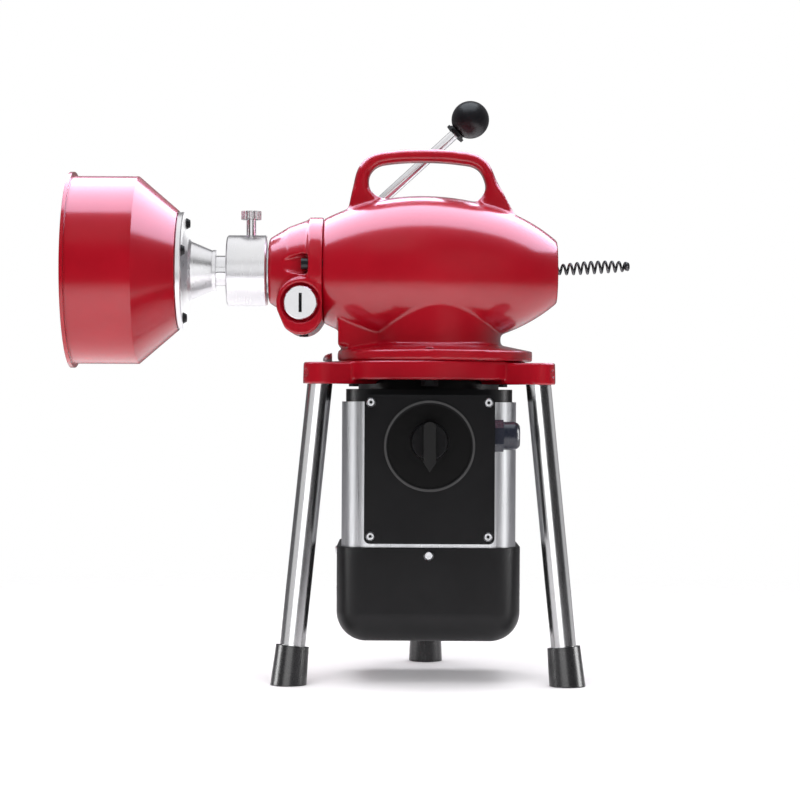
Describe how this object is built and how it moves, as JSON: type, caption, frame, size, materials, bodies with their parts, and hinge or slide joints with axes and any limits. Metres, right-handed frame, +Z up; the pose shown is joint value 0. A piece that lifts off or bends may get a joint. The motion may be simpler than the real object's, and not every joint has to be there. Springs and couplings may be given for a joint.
{
  "type": "drain snake machine",
  "caption": "Sectional drain cleaning machine: tripod, upright motor, red barrel body with a clutch lever, cable drum on the entry side and an auger end.",
  "frame": {"origin": "under the middle of the whole machine, on the floor it stands on", "axes": "+X along the spindle towards the cable exit, +Y away from the switch side, +Z up"},
  "size_m": [0.5023, 0.2834, 0.527],
  "materials": {
    "red_paint": "glossy enamel on cast aluminium",
    "drum_red": "enamel on sheet steel",
    "black_paint": "satin black enamel",
    "bare_aluminium": "extruded, satin",
    "turned_aluminium": "turned, bright",
    "steel_tube": "brushed tube",
    "bright_steel": "bright drawn",
    "zinc_steel": "zinc plated",
    "dark_steel": "blackened",
    "spring_steel": "oiled spring wire",
    "gear_steel": "machined, oiled",
    "black_plastic": "moulded, fine grain",
    "knob_black": "phenolic ball, polished",
    "gland_plastic": "moulded nylon",
    "grey_plastic": "moulded",
    "black_rubber": "moulded rubber",
    "copper_winding": "enamelled copper wire"
  },
  "bodies": {
    "machine": {"body_casting": "red_paint", "nose_casting": "red_paint", "nose_screws": "dark_steel", "tripod_plate": "red_paint", "plate_screws": "dark_steel", "lock_screw": "zinc_steel", "leg_left": "steel_tube", "leg_right": "steel_tube", "leg_rear": "steel_tube", "foot_left": "black_rubber", "foot_right": "black_rubber", "foot_rear": "black_rubber", "leg_set_screws": "dark_steel", "motor_shell": "bare_aluminium", "motor_top_shield": "black_paint", "motor_bottom_shield": "black_paint", "tie_bolts": "zinc_steel", "stator_core": "dark_steel", "stator_windings": "copper_winding", "fan_cover": "black_paint", "fan_cover_screws": "zinc_steel", "switch_box": "black_plastic", "switch_lid": "black_plastic", "lid_screws": "zinc_steel", "switch_block": "grey_plastic", "run_capacitor": "bare_aluminium", "gland_body": "gland_plastic", "gland_nut": "gland_plastic", "guide_collar": "turned_aluminium", "spindle_bearings": "bright_steel", "motor_bearings": "bright_steel", "lever_set_screw": "dark_steel", "return_spring": "spring_steel"},
    "rotor": {"rotor_core": "gear_steel", "motor_shaft": "bright_steel", "drive_pinion": "gear_steel", "cooling_fan": "grey_plastic", "motor_bearing_inners": "bright_steel"},
    "spindle": {"spindle": "gear_steel", "crown_gear": "gear_steel", "spindle_bearing_inners": "bright_steel"},
    "sleeve": {"clutch_sleeve": "gear_steel"},
    "jaw_1": {"chuck_jaw_1": "gear_steel"},
    "jaw_2": {"chuck_jaw_2": "gear_steel"},
    "jaw_3": {"chuck_jaw_3": "gear_steel"},
    "lever": {"lever_shaft": "bright_steel", "lever_fork": "gear_steel", "lever_hub": "bright_steel", "lever_rod": "bright_steel", "knob_nut": "dark_steel", "ball_knob": "knob_black"},
    "drum": {"drum_shell": "drum_red", "drum_hub": "turned_aluminium", "drum_hub_screws": "dark_steel", "drum_neck_tube": "bright_steel", "cable_coil": "spring_steel"},
    "cable": {"drain_cable": "spring_steel"},
    "knob": {"switch_knob": "black_plastic"},
    "thumb_stem": {"thumb_screw_stem": "bright_steel"},
    "thumb_head": {"thumb_screw_head": "turned_aluminium"}
  },
  "joints": [
    {"name": "motor_spin", "type": "hinge", "parent": "machine", "child": "rotor", "pos_m": [0.0706, -0.01465, 0.2], "axis": [0, 0, 1], "continuous": true},
    {"name": "spindle_spin", "type": "hinge", "parent": "machine", "child": "spindle", "pos_m": [0.0706, -0.01465, 0.364], "axis": [1, 0, 0], "continuous": true},
    {"name": "drum_spin", "type": "hinge", "parent": "machine", "child": "drum", "pos_m": [0.0706, -0.01465, 0.364], "axis": [1, 0, 0], "continuous": true},
    {"name": "cable_feed", "type": "slide", "parent": "drum", "child": "cable", "axis": [1, 0, 0], "range_m": [-0.04, 0.06]},
    {"name": "lever_swing", "type": "hinge", "parent": "machine", "child": "lever", "pos_m": [-0.0434, -0.01465, 0.334], "axis": [0, 1, 0], "range_deg": [0, 20], "stiffness_Nm_per_rad": 3, "springref_deg": -20.05},
    {"name": "sleeve_slide", "type": "slide", "parent": "machine", "child": "sleeve", "axis": [1, 0, 0], "range_m": [0, 0.00975]},
    {"name": "jaw_1_slide", "type": "slide", "parent": "spindle", "child": "jaw_1", "axis": [0.9659, 0, -0.2588], "range_m": [0, 0.0101]},
    {"name": "jaw_2_slide", "type": "slide", "parent": "spindle", "child": "jaw_2", "axis": [0.9659, 0.2241, 0.1294], "range_m": [0, 0.0101]},
    {"name": "jaw_3_slide", "type": "slide", "parent": "spindle", "child": "jaw_3", "axis": [0.9659, -0.2241, 0.1294], "range_m": [0, 0.0101]},
    {"name": "switch_turn", "type": "hinge", "parent": "machine", "child": "knob", "pos_m": [0.0706, -0.11865, 0.213], "axis": [0, -1, 0], "range_deg": [-60, 60]},
    {"name": "thumb_screw_travel", "type": "slide", "parent": "machine", "child": "thumb_stem", "axis": [0, 0, 1], "range_m": [0, 0.004]},
    {"name": "thumb_screw_turn", "type": "hinge", "parent": "thumb_stem", "child": "thumb_head", "pos_m": [-0.0896, -0.01465, 0.414], "axis": [0, 0, 1], "range_deg": [0, 1155]}
  ],
  "couplings": [
    {"joint": "spindle_spin", "follows": "motor_spin", "ratio": -0.25},
    {"joint": "sleeve_slide", "follows": "lever_swing", "m_per_rad": 0.027502},
    {"joint": "jaw_1_slide", "follows": "lever_swing", "m_per_rad": 0.028472},
    {"joint": "jaw_2_slide", "follows": "lever_swing", "m_per_rad": 0.028472},
    {"joint": "jaw_3_slide", "follows": "lever_swing", "m_per_rad": 0.028472},
    {"joint": "thumb_screw_turn", "follows": "thumb_screw_travel", "rad_per_m": 5026.5}
  ]
}
